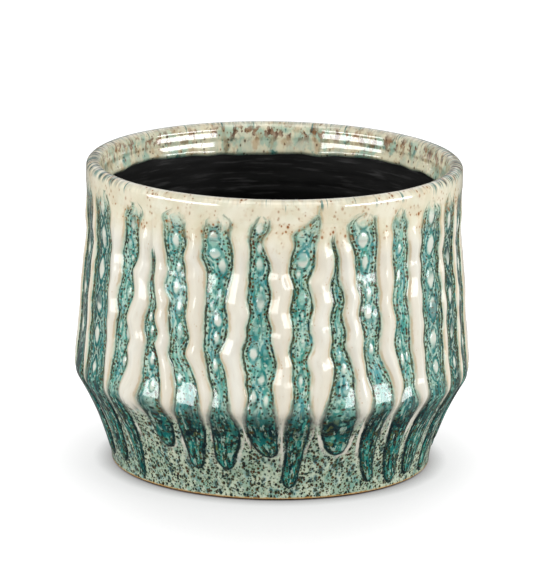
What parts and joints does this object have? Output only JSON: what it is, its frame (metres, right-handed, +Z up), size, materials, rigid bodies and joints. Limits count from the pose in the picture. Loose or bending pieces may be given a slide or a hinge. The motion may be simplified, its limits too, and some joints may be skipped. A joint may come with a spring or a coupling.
{
  "type": "cachepot",
  "caption": "Round glazed stoneware cachepot with a low sharp shoulder, raised zigzag ridges, beads and long glaze runs, black inside.",
  "frame": {"origin": "centre of the foot, on the surface that the pot stands on", "axes": "+Z up along the pot's axis; the pictured front faces -Y"},
  "size_m": [0.1604, 0.1604, 0.123],
  "materials": {
    "stoneware": "matte",
    "celadon_glaze": "gloss",
    "teal_glaze": "gloss",
    "cream_glaze": "gloss",
    "dark_teal_glaze": "gloss",
    "black_slip": "matte"
  },
  "bodies": {
    "root": {"clay_body": "stoneware", "base_glaze": "celadon_glaze", "wall_glaze": "teal_glaze", "wall_ridges": "cream_glaze", "wall_beads": "cream_glaze", "glaze_runs": "dark_teal_glaze", "rim_glaze": "cream_glaze", "black_lining": "black_slip"}
  },
  "joints": []
}
